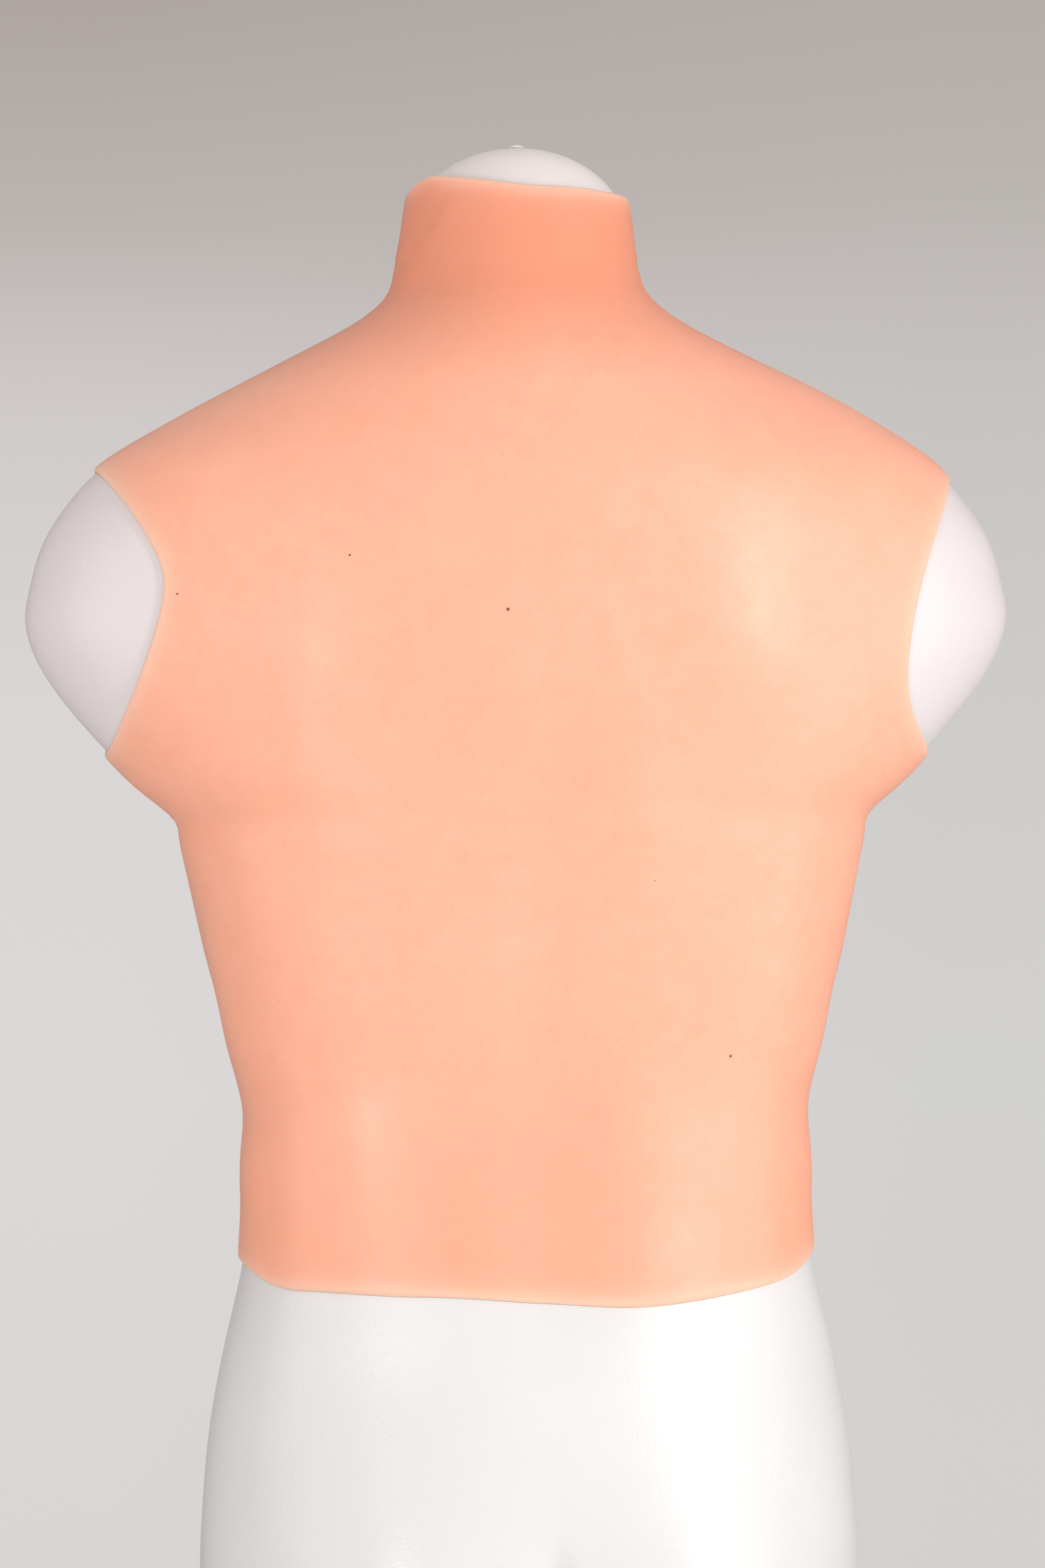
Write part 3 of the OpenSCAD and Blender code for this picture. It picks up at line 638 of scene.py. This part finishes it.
# ---------------------------------------------------------------- small edge radii on the CAD's own pieces
EDGE_RADII = {
    "height_collar": 0.8, "tube_hub": 0.8, "socket_flange": 0.8, "guide_bush": 0.4, "base_cover": 0.4,
    "sleeve_cup": 0.5, "flange_screws": 0.25, "rim_screws": 0.25, "socket_knob": 0.8, "collar_knob": 0.8,
    "base_bolt": 0.5, "base_washer": 0.3, "bottom_board": 0.8, "waist_board": 0.8, "base_pad": 0.6,
    "fixed_tube": 0.4, "sliding_pole": 0.4,
}
for name, radius in EDGE_RADII.items():
    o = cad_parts[name]
    o.modifiers.new("weld", "WELD").merge_threshold = 0.01 * MM
    bevel = o.modifiers.new("bevel", "BEVEL")
    bevel.width = radius * MM
    bevel.segments = 2
    bevel.limit_method = "ANGLE"
    bevel.angle_limit = math.radians(35)
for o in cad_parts.values():
    o.data.shade_smooth()
    if o.modifiers:
        o.modifiers.new("flat faces", "WEIGHTED_NORMAL").keep_sharp = True

# ---------------------------------------------------------------- camera, behind the back
AIM_H, DISTANCE, YAW, ROLL = 481.5, 2.5, 7.0, -0.55
SEEN_HEIGHT, SENSOR = 0.7615, 36
scene = bpy.context.scene
scene.view_settings.view_transform = "Standard"
aim = Vector((0, 0, (FORM_Z + AIM_H) * MM))
cam_data = bpy.data.cameras.new("camera")
cam_data.lens = SENSOR * DISTANCE / SEEN_HEIGHT
cam_data.clip_end = 60
cam = bpy.data.objects.new("camera", cam_data)
scene.collection.objects.link(cam)
yaw = math.radians(YAW)
where = aim + Vector((math.sin(yaw), math.cos(yaw), 0)) * DISTANCE
turn = (aim - where).to_track_quat("-Z", "Y").to_matrix().to_4x4()
cam.matrix_world = Matrix.Translation(where) @ turn @ Matrix.Rotation(math.radians(ROLL), 4, "Z")
scene.camera = cam

# ---------------------------------------------------------------- floor, which fades out into the backdrop
FLOOR_R, FLOOR_SIDES, FLOOR_Z = 2.4, 96, -0.5
mesh = bpy.data.meshes.new("floor")
round_it = [2 * math.pi * k / FLOOR_SIDES for k in range(FLOOR_SIDES)]
ring = [(FLOOR_R * math.cos(q), FLOOR_R * math.sin(q), FLOOR_Z * MM) for q in round_it]
mesh.from_pydata(ring, [], [tuple(range(FLOOR_SIDES))])
floor = bpy.data.objects.new("floor", mesh)
scene.collection.objects.link(floor)
m = Mat("floor_paper", Roughness=0.8)
m.set("Base Color", m.mix(m.remap(m.noise(3, 3), 0.3, 0.7), srgb(215, 212, 210), srgb(211, 208, 206)))
m.bump(m.noise(500, 3), 0.1, 0.0004)
away = m.node("VectorMath", {0: m.at}, operation="LENGTH").outputs["Value"]
m.set("Alpha", m.remap(away, 1.0, 2.3, 1.0, 0.0, interpolation_type="SMOOTHSTEP"))
m.on(floor)

# ---------------------------------------------------------------- soft boxes
LIT_POINT = Vector((0, 0, 1.1))


def soft_box(name, angle, distance, height, size, power):
    """A rectangle of light that faces the torso. angle is in degrees from +Y towards +X."""
    data = bpy.data.lights.new(name, "AREA")
    data.shape = "RECTANGLE"
    data.size, data.size_y = size
    data.energy = power
    o = bpy.data.objects.new(name, data)
    scene.collection.objects.link(o)
    q = math.radians(angle)
    o.location = (distance * math.sin(q), distance * math.cos(q), height)
    o.rotation_euler = (LIT_POINT - o.location).to_track_quat("-Z", "Y").to_euler()
    return o


soft_box("key_core_right", YAW - 44, 2.3, 1.35, (0.32, 1.1), 19)
soft_box("key_right", YAW - 66, 2.6, 0.95, (1.4, 1.8), 23)
soft_box("key_core_left", YAW + 22, 2.6, 0.85, (0.40, 0.9), 14)
soft_box("key_left", YAW + 60, 2.6, 1.1, (1.3, 1.7), 11)
soft_box("fill_front", YAW + 180, 2.9, 2.3, (1.4, 0.9), 34).visible_glossy = False

# ---------------------------------------------------------------- backdrop, and the room's light
ROOM_STRENGTH = 0.76
world = bpy.data.worlds.new("world")
scene.world = world
world.use_nodes = True
world.node_tree.nodes.clear()
w = Nodes(world.node_tree)
coord = w.node("TexCoord").outputs["Generated"]
spin = w.node("Mapping", {"Vector": coord, "Rotation": (0, 0, yaw)}).outputs[0]
direction = w.node("SeparateXYZ", {0: spin}).outputs


def ramp(stops, source, low, high):
    """Colours along a range of one direction."""
    r = w.node("ValToRGB", {0: w.remap(source, low, high)})
    while len(r.color_ramp.elements) < len(stops):
        r.color_ramp.elements.new(0.5)
    for e, (position, colour) in zip(r.color_ramp.elements, stops):
        e.position = position
        e.color = (*srgb(*colour), 1)
    return r.outputs[0]


# Position along the range and colour, from the floor's side up, and then from the front to the back
LEFT = (
    (0.0, (217, 213, 211)), (0.3, (220, 216, 215)), (0.55, (218, 214, 213)), (0.74, (208, 203, 202)),
    (0.80, (199, 193, 191)), (0.86, (188, 180, 177)), (1.0, (175, 166, 163)),
)
RIGHT = (
    (0.0, (212, 208, 207)), (0.3, (210, 209, 208)), (0.55, (206, 204, 203)), (0.74, (199, 195, 193)),
    (0.80, (195, 190, 187)), (0.88, (186, 181, 177)), (1.0, (180, 173, 169)),
)
AROUND = ((0.0, (165, 160, 158)), (0.5, (196, 190, 187)), (0.8, (245, 242, 240)), (1.0, (255, 253, 252)))
# The backdrop that the camera sees carries painted shade: it darkens towards the top
left, right = (ramp(stops, direction["Z"], -0.15, 0.15) for stops in (LEFT, RIGHT))
backdrop = w.mix(w.remap(direction["X"], 0.08, -0.08), left, right)
around = ramp(AROUND, direction["Y"], -1.0, 1.0)
room = w.mix(w.remap(direction["Z"], 0.3, 0.85), around, srgb(246, 242, 240))
seen = w.node("Background", {0: backdrop}).outputs[0]
lit = w.node("Background", {0: room, 1: ROOM_STRENGTH}).outputs[0]
to_camera = w.node("LightPath").outputs["Is Camera Ray"]
both = w.node("MixShader", {0: to_camera, 1: lit, 2: seen}).outputs[0]
w.node("OutputWorld", {0: both})
